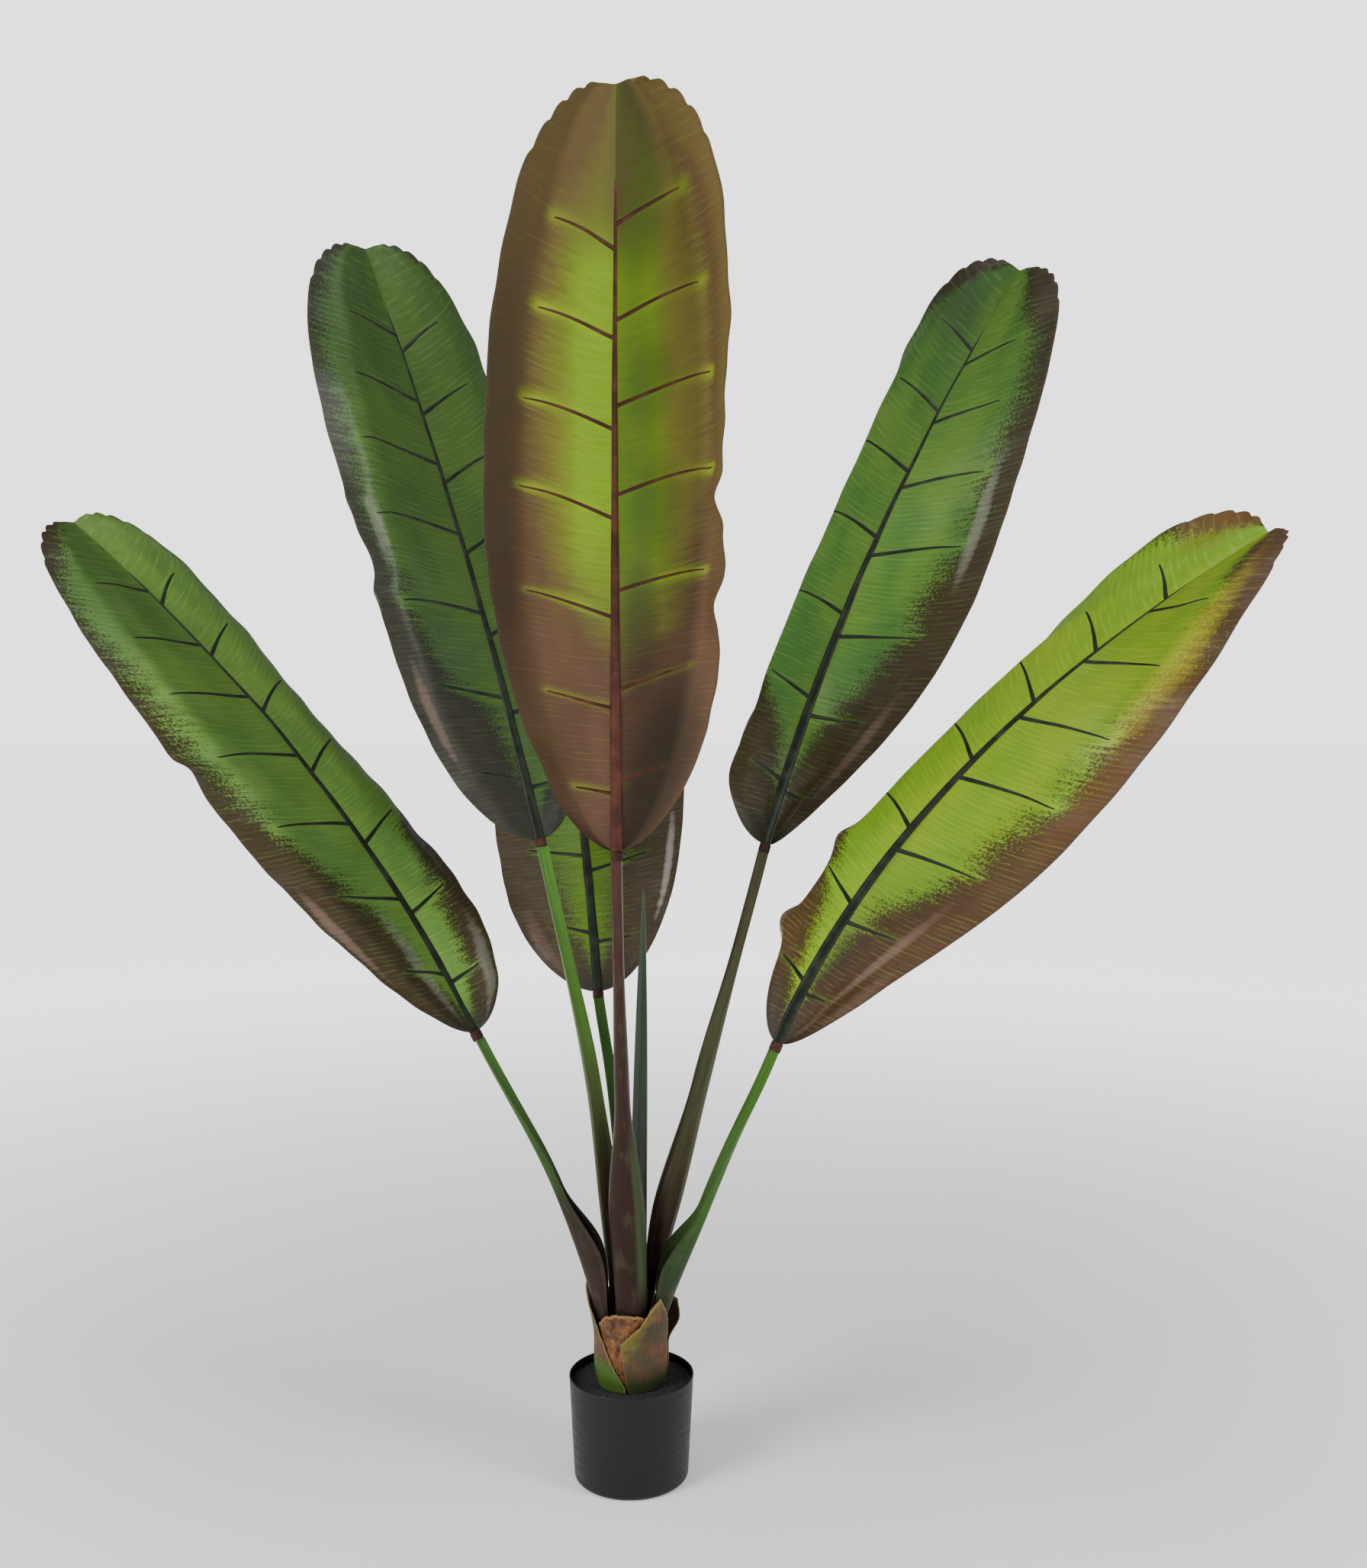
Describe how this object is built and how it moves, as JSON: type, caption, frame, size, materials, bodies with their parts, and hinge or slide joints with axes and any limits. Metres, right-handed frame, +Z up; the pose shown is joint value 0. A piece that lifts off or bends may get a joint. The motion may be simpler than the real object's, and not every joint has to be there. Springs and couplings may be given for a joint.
{
  "type": "artificial banana plant in nursery pot",
  "caption": "Life-size artificial banana plant with broad upright paddle leaves on long stalks, a husk-wrapped stem and a plain round black nursery pot.",
  "frame": {"origin": "centre of the pot's flat underside", "axes": "+Z up along the pot's axis, -Y towards the front of the plant as pictured, +X to the right"},
  "size_m": [1.6742, 0.9717, 1.7476],
  "materials": {
    "pot_black": "satin black moulded plastic",
    "soil_black": "matt black cast filling with a rough top",
    "stem_brown": "matt brown plastic",
    "husk_brown": "matt painted husk, orange brown to green",
    "stalk_green": "satin, green turning to dark brown at the foot",
    "collar_red": "matt red brown",
    "blade_green": "satin coated leaf, green with brown margins"
  },
  "bodies": {
    "root": {"pot": "pot_black", "soil": "soil_black", "stem": "stem_brown", "husk_front_right": "husk_brown", "husk_front_left": "husk_brown", "husk_right_back": "husk_brown", "husk_inner": "husk_brown", "stalk_far_left": "stalk_green", "stalk_upper_left": "stalk_green", "stalk_front": "stalk_green", "stalk_upper_right": "stalk_green", "stalk_far_right": "stalk_green", "stalk_back": "stalk_green", "collar_far_left": "collar_red", "collar_upper_left": "collar_red", "collar_front": "collar_red", "collar_upper_right": "collar_red", "collar_far_right": "collar_red", "collar_back": "collar_red", "blade_far_left": "blade_green", "blade_upper_left": "blade_green", "blade_front": "blade_green", "blade_upper_right": "blade_green", "blade_far_right": "blade_green", "blade_back": "blade_green", "new_leaf": "stalk_green"}
  },
  "joints": []
}
